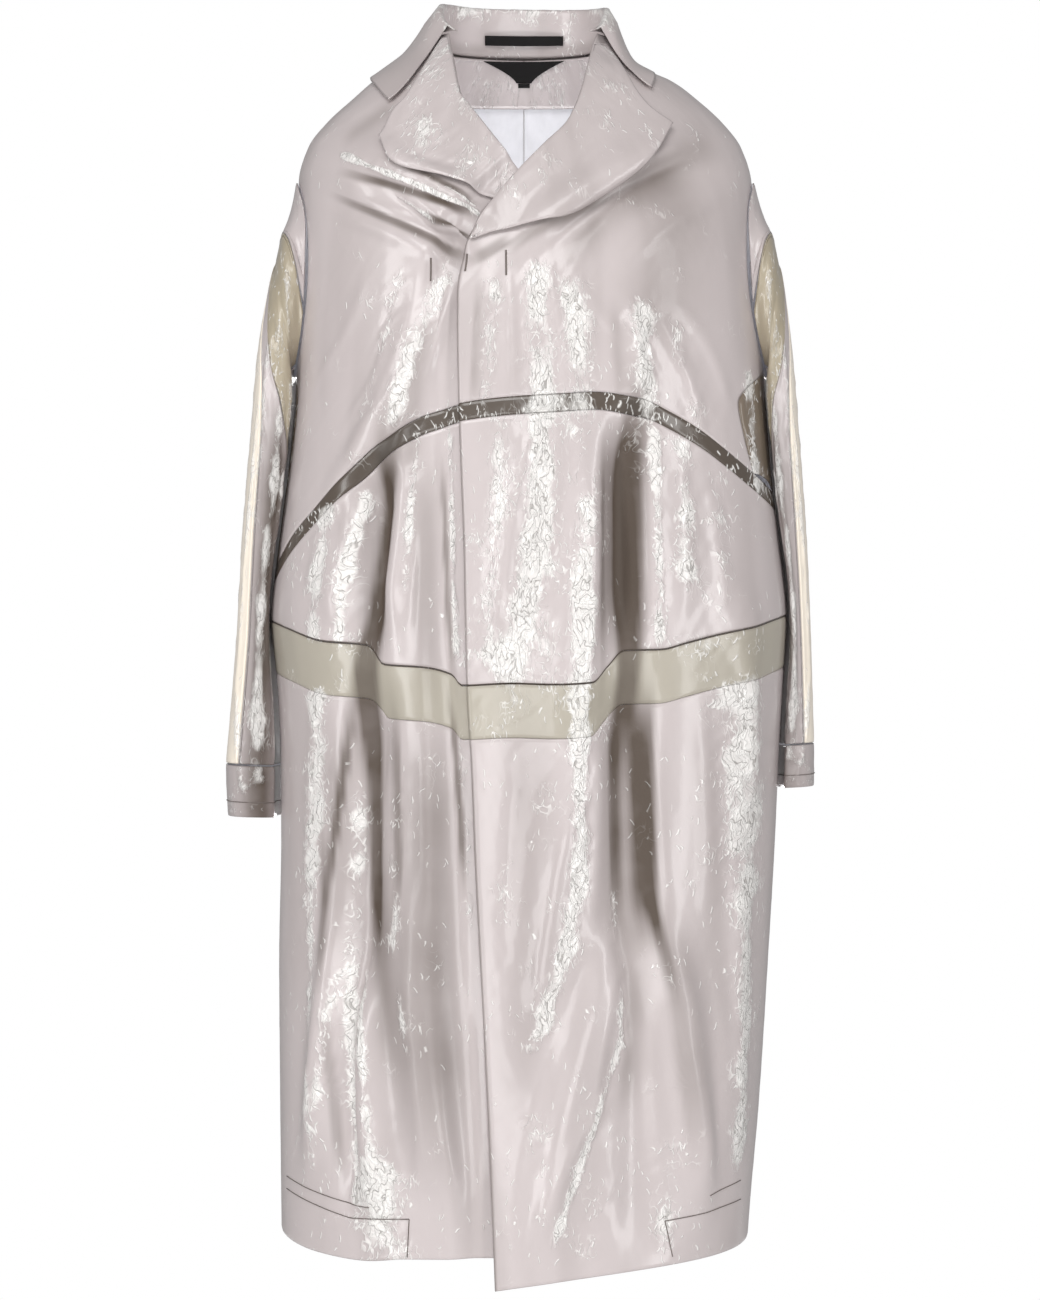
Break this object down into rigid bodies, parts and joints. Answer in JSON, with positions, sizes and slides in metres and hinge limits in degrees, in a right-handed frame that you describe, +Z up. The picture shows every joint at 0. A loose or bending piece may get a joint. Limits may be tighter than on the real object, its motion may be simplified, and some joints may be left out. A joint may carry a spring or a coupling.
{
  "type": "raincoat",
  "caption": "Long, loose raincoat of film-covered cloth with collar and lapels, arched and waist seams with bands, lapped front, open neck, sleeves and hem.",
  "frame": {"origin": "between the shoulders, level with the collar's free edge, where a wearer's neck and shoulders hold the coat", "axes": "+Z up along the coat, -Y out of its front, +X to the wearer's left"},
  "size_m": [0.5829, 0.3589, 1.2439],
  "materials": {
    "film_cloth": "warm grey cloth under a clear, glossy, crinkled film",
    "band_cloth": "grey-green cloth under glossy film",
    "tape": "dark brown tape under glossy film",
    "khaki_cloth": "khaki cloth under glossy film",
    "cream_film": "cream see-through film",
    "black_trim": "matt black woven trim"
  },
  "bodies": {
    "root": {"yoke_left": "film_cloth", "gusset_left": "tape", "arch_tape_left": "tape", "tier_left": "film_cloth", "waist_band_left": "band_cloth", "skirt_left": "film_cloth", "back_left": "film_cloth", "back_band_left": "band_cloth", "back_skirt_left": "film_cloth", "lapel_left": "film_cloth", "sleeve_insert_left": "khaki_cloth", "sleeve_front_left": "film_cloth", "sleeve_strip_left": "cream_film", "sleeve_back_left": "film_cloth", "cuff_left": "film_cloth", "yoke_right": "film_cloth", "gusset_right": "tape", "arch_tape_right": "tape", "tier_right": "film_cloth", "waist_band_right": "band_cloth", "skirt_right": "film_cloth", "back_right": "film_cloth", "back_band_right": "band_cloth", "back_skirt_right": "film_cloth", "lapel_right": "film_cloth", "sleeve_insert_right": "khaki_cloth", "sleeve_front_right": "film_cloth", "sleeve_strip_right": "cream_film", "sleeve_back_right": "film_cloth", "cuff_right": "film_cloth", "collar": "film_cloth", "neck_facing": "film_cloth", "neck_label": "black_trim", "size_tab": "black_trim", "hanger_loop": "black_trim"}
  },
  "joints": []
}
